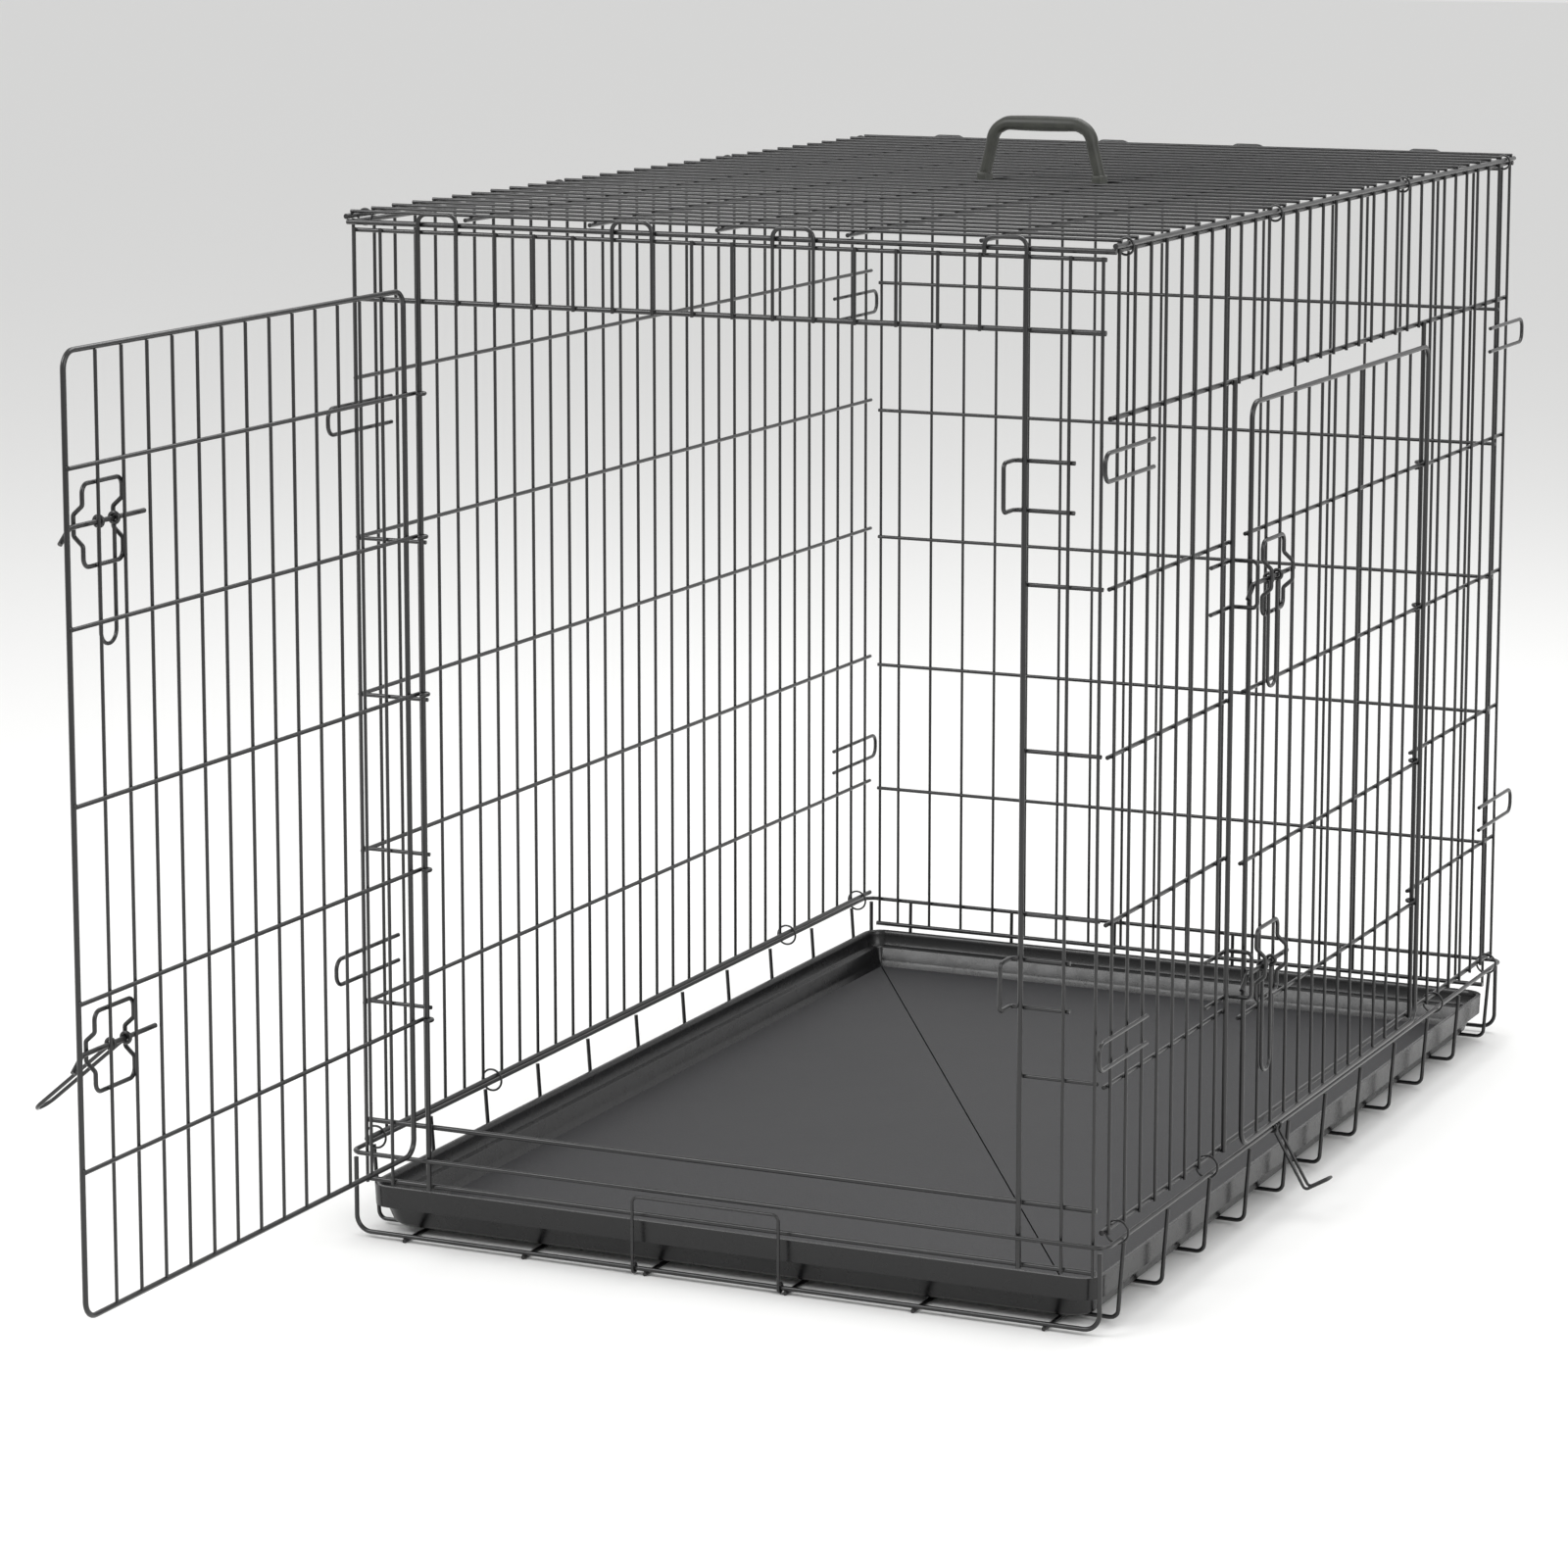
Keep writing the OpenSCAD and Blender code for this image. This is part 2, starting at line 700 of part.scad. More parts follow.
base_rail();
base_end_loops();
base_cross_wires();
base_runners();
left_panel_uprights();
left_panel_rails();
right_panel_uprights();
right_panel_rails();
right_panel_jambs();
front_panel_uprights();
front_panel_rails();
front_panel_jambs();
front_top_loops();
rear_panel_uprights();
rear_panel_rails();
rear_top_loops();
roof_runners();
roof_slats();
corner_hooks();
roof_clips();
base_clips();
front_door_strikes();
side_door_strikes();
front_door_frame();
front_door_uprights();
front_door_rails();
front_upper_guide();
front_lower_guide();
side_door_frame();
side_door_uprights();
side_door_rails();
side_upper_guide();
side_lower_guide();
front_upper_bolt();
front_lower_bolt();
side_upper_bolt();
side_lower_bolt();
front_upper_bolt_handle();
front_lower_bolt_handle();
side_upper_bolt_handle();
side_lower_bolt_handle();
tray();
tray_stop();
fold_latch();
carry_handle();
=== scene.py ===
import json
import math
import bmesh
import bpy
from mathutils import Matrix, Vector


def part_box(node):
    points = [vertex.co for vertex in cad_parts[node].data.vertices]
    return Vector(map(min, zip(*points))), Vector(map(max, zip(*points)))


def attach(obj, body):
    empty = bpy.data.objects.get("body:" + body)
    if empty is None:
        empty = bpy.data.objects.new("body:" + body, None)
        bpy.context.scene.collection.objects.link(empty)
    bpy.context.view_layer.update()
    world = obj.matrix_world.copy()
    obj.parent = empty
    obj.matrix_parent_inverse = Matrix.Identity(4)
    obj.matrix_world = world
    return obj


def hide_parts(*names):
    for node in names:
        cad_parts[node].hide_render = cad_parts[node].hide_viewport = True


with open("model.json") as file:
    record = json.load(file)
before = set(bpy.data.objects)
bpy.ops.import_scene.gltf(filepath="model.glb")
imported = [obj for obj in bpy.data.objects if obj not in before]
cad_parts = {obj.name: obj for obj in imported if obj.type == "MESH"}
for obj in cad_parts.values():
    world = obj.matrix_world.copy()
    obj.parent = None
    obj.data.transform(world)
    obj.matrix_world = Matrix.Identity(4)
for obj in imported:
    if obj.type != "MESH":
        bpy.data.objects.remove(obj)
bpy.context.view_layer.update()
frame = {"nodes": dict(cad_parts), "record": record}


# Camera: a long lens looking at the front panel and the right side, from about the
# height of the roof, so that the roof is seen almost edge on.
lens_mm = 112.2
camera_at = Vector((1.8867, -4.5522, 1.3459))
camera_looks = Vector((-0.41300, 0.89579, -0.16427))
frame_shift = -0.1

camera = bpy.data.objects.new("camera", bpy.data.cameras.new("camera"))
camera.data.lens = lens_mm
camera.data.sensor_width = 36
camera.data.shift_y = frame_shift
camera.location = camera_at
camera.rotation_euler = camera_looks.to_track_quat("-Z", "Y").to_euler()
bpy.context.scene.collection.objects.link(camera)
bpy.context.scene.camera = camera


# Base basket: a closed rail, an end loop at the front and rear, cross wires bent up
# at both sides and runners bent up at the rear. Drawn steel wire, bent cold, resistance
# welded where wires cross, then dipped in black electrocoat.
def solids(node):
    """Each separate solid of a CAD node, as its faces."""
    copy = bmesh.new()
    copy.from_mesh(frame["nodes"][node].data)
    bmesh.ops.remove_doubles(copy, verts=copy.verts, dist=1e-6)
    left = set(copy.faces)
    found = []
    while left:
        stack = [left.pop()]
        group = []
        while stack:
            face = stack.pop()
            group.append(face)
            for edge in face.edges:
                for other in edge.link_faces:
                    if other in left:
                        left.remove(other)
                        stack.append(other)
        found.append(group)
    return copy, found


def flat_ends(faces):
    """The flat round ends of a wire: the middle, outward direction and radius of each."""
    thickest = 0.0027
    left = set(faces)
    ends = []
    while left:
        seed = left.pop()
        out = seed.normal.copy()
        stack = [seed]
        rim = set(seed.verts)
        while stack:
            for edge in stack.pop().edges:
                for other in edge.link_faces:
                    if other in left and other.normal.dot(out) > 0.9999:
                        left.remove(other)
                        stack.append(other)
                        rim.update(other.verts)
        middle = sum((v.co for v in rim), Vector()) / len(rim)
        spokes = [(v.co - middle).length for v in rim]
        if len(rim) > 6 and max(spokes) < thickest and max(spokes) - min(spokes) < 0.1 * max(spokes):
            ends.append((middle, out, max(spokes)))
    return ends


def runs_of(node):
    """A CAD node's wires, each as the straight lengths and turns that follow one another."""
    copy, found = solids(node)
    lengths = [ends for ends in map(flat_ends, found) if len(ends) == 2]
    copy.free()
    hairline = 6e-5
    runs = []
    while lengths:
        run = [lengths.pop()]
        grown = True
        while grown:
            grown = False
            for ends in lengths:
                a, b = ends
                tail, head = run[-1][1][0], run[0][0][0]
                if (a[0] - tail).length < hairline:
                    run.append([a, b])
                elif (b[0] - tail).length < hairline:
                    run.append([b, a])
                elif (b[0] - head).length < hairline:
                    run.insert(0, [a, b])
                elif (a[0] - head).length < hairline:
                    run.insert(0, [b, a])
                else:
                    continue
                lengths.remove(ends)
                grown = True
                break
        runs.append(run)
    return runs


def lay_wire(mesh, run, sides):
    """Draws one wire along its run, closed on itself or with both cut ends filled."""
    joined = 2e-4
    turn_per_step = 11
    start, out, radius = run[0][0]
    facing = (-out).to_track_quat("Z", "Y").to_matrix().to_4x4()
    ring = bmesh.ops.create_circle(mesh, segments=sides, radius=radius,
                                   matrix=Matrix.Translation(start) @ facing)["verts"]
    first = ring
    edges = list({e for v in ring for e in v.link_edges})
    at = start
    for (a, a_out, _), (b, b_out, _) in run:
        into = -a_out
        bend = into.cross(b_out)
        if bend.length < 1e-3:
            made = bmesh.ops.extrude_edge_only(mesh, edges=edges)["geom"]
            ring = [g for g in made if isinstance(g, bmesh.types.BMVert)]
            edges = [g for g in made if isinstance(g, bmesh.types.BMEdge)]
            bmesh.ops.translate(mesh, verts=ring, vec=b - at)
        else:
            bend.normalize()
            across = bend.cross(into)
            gap = b - a
            reach = gap.dot(b_out) / across.dot(b_out)
            angle = math.acos(max(-1.0, min(1.0, into.dot(b_out))))
            centre = a + across * reach
            if reach < 0:
                bend, angle = -bend, 2 * math.pi - angle
            steps = max(4, round(math.degrees(angle) / turn_per_step))
            made = bmesh.ops.spin(mesh, geom=edges, cent=centre, axis=bend, angle=angle,
                                  steps=steps)["geom_last"]
            ring = [g for g in made if isinstance(g, bmesh.types.BMVert)]
            edges = [g for g in made if isinstance(g, bmesh.types.BMEdge)]
        at = sum((v.co for v in ring), Vector()) / len(ring)
    if (at - start).length < joined and len(run) > 2:
        bmesh.ops.remove_doubles(mesh, verts=list(ring) + list(first), dist=joined)
        return
    narrowed = 0.65
    for verts, middle in ((first, start), (ring, at)):
        rim = list({e for v in verts for e in v.link_edges if all(w in verts for w in e.verts)})
        made = bmesh.ops.extrude_edge_only(mesh, edges=rim)["geom"]
        tip = [g for g in made if isinstance(g, bmesh.types.BMVert)]
        bmesh.ops.scale(mesh, verts=tip, vec=(narrowed,) * 3, space=Matrix.Translation(-middle))
        bmesh.ops.holes_fill(mesh, edges=[g for g in made if isinstance(g, bmesh.types.BMEdge)],
                             sides=sides)


def linear(code):
    """An sRGB hex colour as linear values."""
    parts = [int(code[i:i + 2], 16) / 255 for i in (1, 3, 5)]
    return [c / 12.92 if c <= 0.04045 else ((c + 0.055) / 1.055) ** 2.4 for c in parts] + [1.0]


def add(material, kind, settings=(), **links):
    """Adds a node; settings are its properties or sockets, links are what feeds its sockets."""
    made = material.node_tree.nodes.new(kind)
    for name, value in dict(settings).items():
        if name in made.inputs:
            made.inputs[name].default_value = value
        else:
            setattr(made, name, value)
    for name, source in links.items():
        material.node_tree.links.new(source, made.inputs[name.replace("_", " ")])
    return made


def new_material(name):
    """A material with an empty node tree."""
    made = bpy.data.materials.new(name)
    made.use_nodes = True
    made.node_tree.nodes.clear()
    return made


# Black electrocoat on drawn wire: a thin satin paint film that flows a little before it
# is baked, so it shows soft highlights, a fine orange peel and slightly duller patches.
coat = new_material("satin_black_electrocoat")
peel_mm = 1.2
where = add(coat, "ShaderNodeTexCoord").outputs["Object"]
peel = add(coat, "ShaderNodeTexNoise", {"Scale": 1000 / peel_mm, "Detail": 2.0}, Vector=where)
patches = add(coat, "ShaderNodeTexNoise", {"Scale": 14.0, "Detail": 3.0}, Vector=where)
shine = add(coat, "ShaderNodeMapRange", {"To Min": 0.26, "To Max": 0.42}, Value=patches.outputs["Fac"])
tone = add(coat, "ShaderNodeMix", {"data_type": "RGBA"}, Factor=patches.outputs["Fac"])
tone.inputs[6].default_value = linear("#09090a")
tone.inputs[7].default_value = linear("#121213")
skin = add(coat, "ShaderNodeBump", {"Strength": 0.25, "Distance": 0.0001}, Height=peel.outputs["Fac"])
film = add(coat, "ShaderNodeBsdfPrincipled", {"IOR": 1.5, "Coat Weight": 0.35, "Coat Roughness": 0.16},
           Base_Color=tone.outputs[2], Roughness=shine.outputs["Result"], Normal=skin.outputs["Normal"])
add(coat, "ShaderNodeOutputMaterial", Surface=film.outputs["BSDF"])

bodies = frame["record"]["behaviour"]["bodies"]
body_of = {node: body for body, nodes in bodies.items() for node in nodes}
wires = {}


def finish_piece(mesh, name, body, slot, *materials):
    """Makes a bmesh into a smooth-shaded piece of the object."""
    bmesh.ops.recalc_face_normals(mesh, faces=mesh.faces)
    data = bpy.data.meshes.new(name)
    mesh.to_mesh(data)
    mesh.free()
    data.polygons.foreach_set("use_smooth", [True] * len(data.polygons))
    data.set_sharp_from_angle(angle=math.radians(50))
    for material in materials:
        data.materials.append(material)
    piece = bpy.data.objects.new(name, data)
    bpy.context.scene.collection.objects.link(piece)
    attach(piece, body)
    return piece


def draw_wires(node, sides=12):
    """Draws the wires of a CAD node as continuous coated wire."""
    wires[node] = runs_of(node)
    mesh = bmesh.new()
    for run in wires[node]:
        lay_wire(mesh, run, sides)
    piece = finish_piece(mesh, node + "_wire", body_of[node], "coated_steel", coat)
    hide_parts(node)


for node in ("base_rail", "base_end_loops", "base_cross_wires", "base_runners"):
    draw_wires(node)


# Side, front and rear panels: uprights welded to level wires, with heavier jambs beside
# the doorways, and inverted U loops on the end panels that stand over the roof's end wire.
for node in ("left_panel_uprights", "left_panel_rails",
             "right_panel_uprights", "right_panel_rails", "right_panel_jambs",
             "front_panel_uprights", "front_panel_rails", "front_panel_jambs", "front_top_loops",
             "rear_panel_uprights", "rear_panel_rails", "rear_top_loops"):
    draw_wires(node)


# Roof: long runners with close slats welded across them, and hairpin hooks at the corners.
for node in ("roof_runners", "roof_slats", "corner_hooks"):
    draw_wires(node)


# Ring clips: short wires closed round two neighbouring wires, so that the panels hinge on
# the roof and on the base. The same rings are the eyes of the bolt handles and the latch.
def draw_rings(mesh, node, sides=12, around=36):
    """Draws each closed ring of a CAD node; every ring turns about the Y axis."""
    copy, found = solids(node)
    for faces in found:
        if flat_ends(faces):
            continue
        spots = [v.co for face in faces for v in face.verts]
        low = Vector(min(p[i] for p in spots) for i in range(3))
        high = Vector(max(p[i] for p in spots) for i in range(3))
        centre = (low + high) / 2
        radius = (high.y - low.y) / 2
        reach = (high.x - low.x) / 2 - radius
        ring = bmesh.ops.create_circle(mesh, segments=sides, radius=radius,
                                       matrix=Matrix.Translation(centre + Vector((reach, 0, 0))))["verts"]
        edges = list({e for v in ring for e in v.link_edges})
        bmesh.ops.spin(mesh, geom=list(ring) + edges, cent=centre, axis=(0, 1, 0),
                       angle=2 * math.pi, steps=around, use_merge=True)
    copy.free()


for node in ("roof_clips", "base_clips"):
    mesh = bmesh.new()
    draw_rings(mesh, node)
    piece = finish_piece(mesh, node + "_wire", body_of[node], "coated_steel", coat)
    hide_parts(node)


# Doors: a heavy frame wire bent round with its ends butt welded, level wires whose ends
# hook round the jamb as the hinge, and uprights. The strikes are hairpins behind the jambs.
for node in ("front_door_frame", "front_door_uprights", "front_door_rails",
             "side_door_frame", "side_door_uprights", "side_door_rails",
             "front_door_strikes", "side_door_strikes"):
    draw_wires(node)


# Slide bolts: a guide frame welded on the door, a rod through the bumps in its sides, and
# a hairpin handle whose two eyes are closed round the rod.
for latch in ("front_upper", "front_lower", "side_upper", "side_lower"):
    draw_wires(latch + "_guide")
    draw_wires(latch + "_bolt", sides=16)


def draw_wires_with_eyes(node):
    """Draws a hairpin and the closed eyes that it hangs from as one piece."""
    wires[node] = runs_of(node)
    mesh = bmesh.new()
    for run in wires[node]:
        lay_wire(mesh, run, 14)
    draw_rings(mesh, node)
    piece = finish_piece(mesh, node + "_wire", body_of[node], "coated_steel", coat)
    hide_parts(node)


for latch in ("front_upper", "front_lower", "side_upper", "side_lower"):
    draw_wires_with_eyes(latch + "_bolt_handle")


# Tray stop and fold latch: spring wires that turn on the base's front wire and side rail.
draw_wires("tray_stop")
draw_wires_with_eyes("fold_latch")


# Welds: each crossing of two wires is fused by a small nugget that swells round the joint.
def straights(node):
    """The straight lengths of a node's wires, as both ends and the radius."""
    return [(a[0], b[0], a[2]) for run in wires[node] for a, b in run
            if (-a[1]).cross(b[1]).length < 1e-3]


def weld(mesh, one, other):
    """Adds a nugget wherever a wire of one node crosses a wire of the other."""
    reach = 0.0006
    parallel = 0.5
    past_end = 0.01
    wider, flatter = 1.15, 0.62
    for a1, b1, r1 in straights(one):
        for a2, b2, r2 in straights(other):
            d1, d2 = b1 - a1, b2 - a2
            n = d1.cross(d2)
            if n.length < parallel * d1.length * d2.length:
                continue
            gap = abs((a2 - a1).dot(n.normalized()))
            if gap > r1 + r2 + reach:
                continue
            t = (a2 - a1).cross(d2).dot(n) / n.length_squared
            s = (a2 - a1).cross(d1).dot(n) / n.length_squared
            if not (-past_end < t < 1 + past_end and -past_end < s < 1 + past_end):
                continue
            p, q = a1 + d1 * t, a2 + d2 * s
            spot = p + (q - p) * (r1 / (r1 + r2))
            size = min(r1, r2)
            turn = (q - p).to_track_quat("Z", "Y").to_matrix().to_4x4()
            flat = Matrix.Diagonal((wider, wider, flatter, 1))
            bmesh.ops.create_uvsphere(mesh, u_segments=8, v_segments=5, radius=size,
                                      matrix=Matrix.Translation(spot) @ turn @ flat)


welded = {
    "crate": (("roof_slats", "roof_runners"), ("left_panel_uprights", "left_panel_rails"),
              ("right_panel_uprights", "right_panel_rails"), ("right_panel_jambs", "right_panel_rails"),
              ("front_panel_uprights", "front_panel_rails"), ("front_panel_jambs", "front_panel_rails"),
              ("base_cross_wires", "base_runners"), ("base_end_loops", "base_runners"),
              ("corner_hooks", "left_panel_uprights"), ("corner_hooks", "right_panel_uprights")),
    "rear_panel": (("rear_panel_uprights", "rear_panel_rails"),),
    "front_door": (("front_door_uprights", "front_door_rails"), ("front_door_frame", "front_door_rails"),
                   ("front_upper_guide", "front_door_uprights"), ("front_lower_guide", "front_door_uprights")),
    "side_door": (("side_door_uprights", "side_door_rails"), ("side_door_frame", "side_door_rails"),
                  ("side_upper_guide", "side_door_uprights"), ("side_lower_guide", "side_door_uprights")),
}
for body, pairs in welded.items():
    mesh = bmesh.new()
    for one, other in pairs:
        weld(mesh, one, other)
    finish_piece(mesh, body + "_welds", body, "coated_steel", coat)


# Tray: one vacuum-formed sheet of black polypropylene. The floor keeps the fine grain of
# the sheet, the walls lean out to a step, and the glossy rim rolls over at the top.
low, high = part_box("tray")
sheet = 0.0025
step_up = 0.0205
step_out = 0.0065
rim_flat = 0.0026
corner_r = 0.022

mesh = bmesh.new()
bmesh.ops.create_grid(mesh, x_segments=1, y_segments=1, size=0.5)
middle = (low + high) / 2
size = high - low
bmesh.ops.scale(mesh, verts=mesh.verts, vec=(size.x, size.y, 1))
bmesh.ops.translate(mesh, verts=mesh.verts, vec=(middle.x, middle.y, high.z))
bmesh.ops.bevel(mesh, geom=mesh.verts[:], affect="VERTICES", offset=corner_r, segments=10,
                profile=0.5, material=-1)
face = mesh.faces[:][0]


# The inside, from the rim's outer edge down over the step to the floor: how far each
# band of the wall goes inwards and up.
wall_h = size.z - step_up
for inwards, up in (
    (0.0012, 0.0), (rim_flat, 0.0), (0.0012, -0.0010), (0.0006, -0.004),
    (0.0012, -(wall_h - 0.010)), (0.0010, -0.0012), (step_out, -0.0004),
    (0.0012, -0.0012), (0.0030, -(step_up - sheet - 0.0045)), (0.0016, -0.0026), (0.003, -0.0008),
):
    bmesh.ops.inset_region(mesh, faces=[face], thickness=inwards, use_even_offset=True,
                           use_boundary=True)
    bmesh.ops.translate(mesh, verts=face.verts, vec=(0, 0, up))
floor_z = face.verts[0].co.z
bmesh.ops.translate(mesh, verts=face.verts, vec=(0, 0, low.z + sheet - floor_z))

# The outside, from the rim down to the underside.
edge = [e for e in mesh.edges if e.is_boundary]
centre = Vector((middle.x, middle.y, 0))
for outwards, up in ((0.0, -0.0012), (-0.0007, -(wall_h - 0.0012)), (-0.0068, -0.0006),
                     (-0.0012, -0.0012), (-0.0050, -(step_up - 0.0048)), (-0.0030, -0.0030)):
    made = bmesh.ops.extrude_edge_only(mesh, edges=edge)["geom"]
    ring = [g for g in made if isinstance(g, bmesh.types.BMVert)]
    edge = [g for g in made if isinstance(g, bmesh.types.BMEdge)]
    half_x = max(v.co.x for v in ring) - centre.x
    half_y = max(v.co.y for v in ring) - centre.y
    bmesh.ops.scale(mesh, verts=ring, vec=((half_x + outwards) / half_x, (half_y + outwards) / half_y, 1),
                    space=Matrix.Translation(-centre))
    bmesh.ops.translate(mesh, verts=ring, vec=(0, 0, up))
bmesh.ops.holes_fill(mesh, edges=edge, sides=0)
grained_slot = 1
face.material_index = grained_slot

# Polypropylene sheet: dark grey and dull where the roller left its grain, near black and
# glossy where the mould stretched it smooth.
smooth_sheet = new_material("stretched_black_polypropylene")
where = add(smooth_sheet, "ShaderNodeTexCoord").outputs["Object"]
ripple = add(smooth_sheet, "ShaderNodeTexNoise", {"Scale": 60.0, "Detail": 2.0}, Vector=where)
wave = add(smooth_sheet, "ShaderNodeBump", {"Strength": 0.2, "Distance": 0.0008},
           Height=ripple.outputs["Fac"])
gloss = add(smooth_sheet, "ShaderNodeMapRange", {"To Min": 0.18, "To Max": 0.34},
            Value=ripple.outputs["Fac"])
shell = add(smooth_sheet, "ShaderNodeBsdfPrincipled", {"Base Color": linear("#0c0c0d"), "IOR": 1.49},
            Roughness=gloss.outputs["Result"], Normal=wave.outputs["Normal"])
add(smooth_sheet, "ShaderNodeOutputMaterial", Surface=shell.outputs["BSDF"])

grained_sheet = new_material("grained_grey_polypropylene")
grain_mm = 0.8
where = add(grained_sheet, "ShaderNodeTexCoord").outputs["Object"]
grain = add(grained_sheet, "ShaderNodeTexVoronoi", {"Scale": 1000 / (2 * grain_mm)}, Vector=where)
scuffs = add(grained_sheet, "ShaderNodeTexNoise", {"Scale": 5.0, "Detail": 6.0, "Roughness": 0.6},
             Vector=where)
speck = add(grained_sheet, "ShaderNodeTexNoise", {"Scale": 420.0, "Detail": 1.0}, Vector=where)
mottle = add(grained_sheet, "ShaderNodeMix", {"data_type": "RGBA"}, Factor=scuffs.outputs["Fac"])
mottle.inputs[6].default_value = linear("#2a2a2c")
mottle.inputs[7].default_value = linear("#353537")
dots = add(grained_sheet, "ShaderNodeMix", {"data_type": "RGBA", "blend_type": "MULTIPLY"})
dots.inputs[0].default_value = 0.35
grained_sheet.node_tree.links.new(mottle.outputs[2], dots.inputs[6])
grained_sheet.node_tree.links.new(speck.outputs["Color"], dots.inputs[7])
pits = add(grained_sheet, "ShaderNodeBump", {"Strength": 0.5, "Distance": 0.0002},
           Height=grain.outputs["Distance"])
dull = add(grained_sheet, "ShaderNodeMapRange", {"To Min": 0.5, "To Max": 0.66},
           Value=scuffs.outputs["Fac"])
pan = add(grained_sheet, "ShaderNodeBsdfPrincipled", {"IOR": 1.49},
          Base_Color=dots.outputs[2], Roughness=dull.outputs["Result"], Normal=pits.outputs["Normal"])
add(grained_sheet, "ShaderNodeOutputMaterial", Surface=pan.outputs["BSDF"])

tray = finish_piece(mesh, "tray_shell", "tray", "tray_plastic", smooth_sheet, grained_sheet)
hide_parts("tray")


# Carrying handle: an arch of black nylon moulded in one, thicker at the grip than in the
# legs, with a snap foot on each end that is pushed over a roof runner.
low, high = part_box("carry_handle")
middle = (low + high) / 2
leg_r = 0.0062
grip_r = 0.0078
shoulder_r = 0.020
lean = 0.008
foot_h = 0.019
foot_w = 0.0115
foot_d = 0.019
foot_round = 0.0028

mesh = bmesh.new()
left_x, right_x = low.x + foot_w / 2, high.x - foot_w / 2
foot_top = low.z + foot_h
leg_start_z = foot_top - 0.003
bar_z = high.z - grip_r
ring = bmesh.ops.create_circle(mesh, segments=20, radius=leg_r,
                               matrix=Matrix.Translation((left_x, middle.y, leg_start_z)))["verts"]
edges = list({e for v in ring for e in v.link_edges})
climb = Vector((lean, 0, bar_z - shoulder_r - leg_start_z))
stages = 6
for _ in range(stages):
    made = bmesh.ops.extrude_edge_only(mesh, edges=edges)["geom"]
    ring = [g for g in made if isinstance(g, bmesh.types.BMVert)]
    edges = [g for g in made if isinstance(g, bmesh.types.BMEdge)]
    bmesh.ops.translate(mesh, verts=ring, vec=climb / stages)
at = sum((v.co for v in ring), Vector()) / len(ring)
made = bmesh.ops.spin(mesh, geom=edges, cent=at + Vector((shoulder_r, 0, 0)), axis=(0, 1, 0),
                      angle=math.radians(90), steps=10)["geom_last"]
ring = [g for g in made if isinstance(g, bmesh.types.BMVert)]
edges = [g for g in made if isinstance(g, bmesh.types.BMEdge)]
at = sum((v.co for v in ring), Vector()) / len(ring)
bar_parts = 8
for _ in range(bar_parts):
    made = bmesh.ops.extrude_edge_only(mesh, edges=edges)["geom"]
    ring = [g for g in made if isinstance(g, bmesh.types.BMVert)]
    edges = [g for g in made if isinstance(g, bmesh.types.BMEdge)]
    bmesh.ops.translate(mesh, verts=ring, vec=((middle.x - at.x) / bar_parts, 0, 0))
for v in ring:
    v.co.x = middle.x
bmesh.ops.mirror(mesh, geom=mesh.verts[:] + mesh.edges[:] + mesh.faces[:],
                 matrix=Matrix.Translation((-middle.x, 0, 0)), axis="X", merge_dist=1e-5)
bmesh.ops.remove_doubles(mesh, verts=mesh.verts, dist=1e-5)
palm_w = 1.1
crown_reach = 0.8
for v in mesh.verts:
    across = min(1.0, abs(v.co.x - middle.x) / (right_x - middle.x - lean))
    if v.co.z > bar_z - shoulder_r:
        swell = 1 + (grip_r / leg_r - 1) * (1 - across ** 2)
        v.co.y = middle.y + (v.co.y - middle.y) * swell * palm_w
        v.co.z = bar_z + (v.co.z - bar_z) * (swell if across < crown_reach else 1)
bmesh.ops.holes_fill(mesh, edges=[e for e in mesh.edges if e.is_boundary], sides=0)
for x in (left_x, right_x):
    foot = bmesh.ops.create_cube(mesh, size=1.0)["verts"]
    bmesh.ops.scale(mesh, verts=foot, vec=(foot_w, foot_d, foot_h))
    bmesh.ops.translate(mesh, verts=foot, vec=(x, middle.y, low.z + foot_h / 2))
    rounds = list({e for v in foot for e in v.link_edges})
    bmesh.ops.bevel(mesh, geom=rounds, affect="EDGES", offset=foot_round, segments=4, profile=0.5,
                    material=-1)

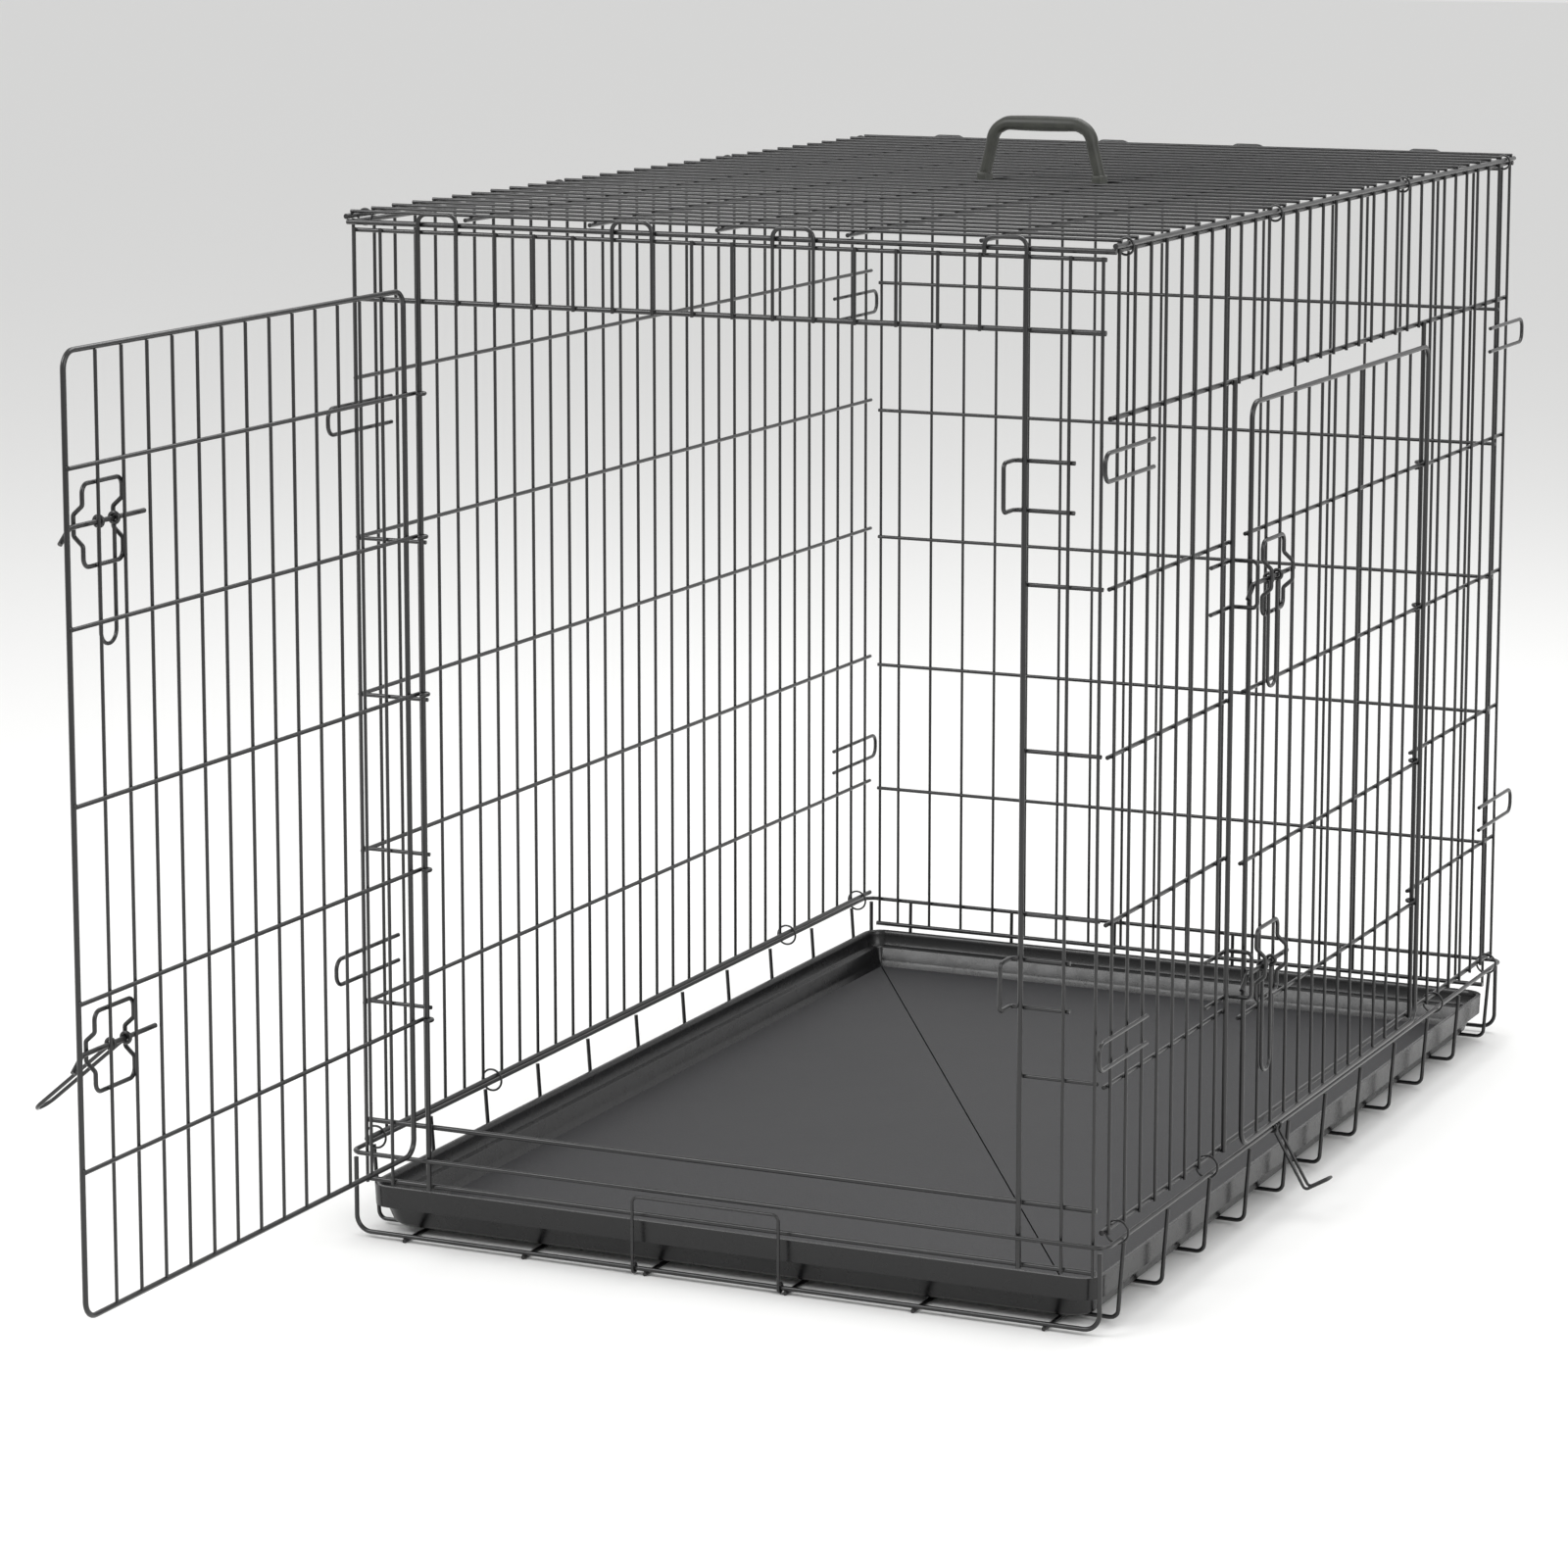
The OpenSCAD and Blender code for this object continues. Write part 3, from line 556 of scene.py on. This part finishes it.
# Moulded nylon: near black with a grey-green bloom in clouds, and a fine spark texture.
nylon = new_material("moulded_black_nylon")
where = add(nylon, "ShaderNodeTexCoord").outputs["Object"]
bloom = add(nylon, "ShaderNodeTexNoise", {"Scale": 55.0, "Detail": 5.0, "Roughness": 0.65}, Vector=where)
cloud = add(nylon, "ShaderNodeMix", {"data_type": "RGBA"}, Factor=bloom.outputs["Fac"])
cloud.inputs[6].default_value = linear("#0d0e0c")
cloud.inputs[7].default_value = linear("#3b3d35")
texture = add(nylon, "ShaderNodeTexNoise", {"Scale": 900.0, "Detail": 1.0}, Vector=where)
spark = add(nylon, "ShaderNodeBump", {"Strength": 0.4, "Distance": 0.0001}, Height=texture.outputs["Fac"])
worn = add(nylon, "ShaderNodeMapRange", {"To Min": 0.36, "To Max": 0.6}, Value=bloom.outputs["Fac"])
grip = add(nylon, "ShaderNodeBsdfPrincipled", {"IOR": 1.53},
           Base_Color=cloud.outputs[2], Roughness=worn.outputs["Result"], Normal=spark.outputs["Normal"])
add(nylon, "ShaderNodeOutputMaterial", Surface=grip.outputs["BSDF"])
handle = finish_piece(mesh, "carry_handle_moulding", "crate", "handle_plastic", nylon)
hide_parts("carry_handle")


# Studio: a white floor that runs out of sight, a bright even surround and large soft lights.
mesh = bmesh.new()
bmesh.ops.create_grid(mesh, x_segments=1, y_segments=1, size=30)
ground = bpy.data.meshes.new("studio_floor")
mesh.to_mesh(ground)
mesh.free()
paper = new_material("white_studio_paper")
matt = add(paper, "ShaderNodeBsdfPrincipled", {"Base Color": linear("#f1f1f0"), "Roughness": 0.9})
add(paper, "ShaderNodeOutputMaterial", Surface=matt.outputs["BSDF"])
ground.materials.append(paper)
studio_floor = bpy.data.objects.new("studio_floor", ground)
bpy.context.scene.collection.objects.link(studio_floor)

world = bpy.data.worlds.new("studio")
bpy.context.scene.world = world
world.use_nodes = True
world.node_tree.nodes["Background"].inputs["Color"].default_value = (1, 1, 1, 1)
world.node_tree.nodes["Background"].inputs["Strength"].default_value = 0.75


def soft_light(name, spot, size, watts):
    """A square area light aimed at the middle of the crate."""
    light = bpy.data.lights.new(name, "AREA")
    light.size = size
    light.energy = watts
    lamp = bpy.data.objects.new(name, light)
    lamp.location = spot
    aim = Vector((0, 0, 0.5)) - Vector(spot)
    lamp.rotation_euler = aim.to_track_quat("-Z", "Y").to_euler()
    bpy.context.scene.collection.objects.link(lamp)


soft_light("key_light", (-2.2, -3.2, 3.6), 2.0, 90)
soft_light("fill_light", (3.4, -2.0, 2.4), 2.4, 50)
soft_light("top_light", (0.4, 1.6, 3.8), 2.5, 70)

bpy.context.scene.view_settings.view_transform = "Standard"
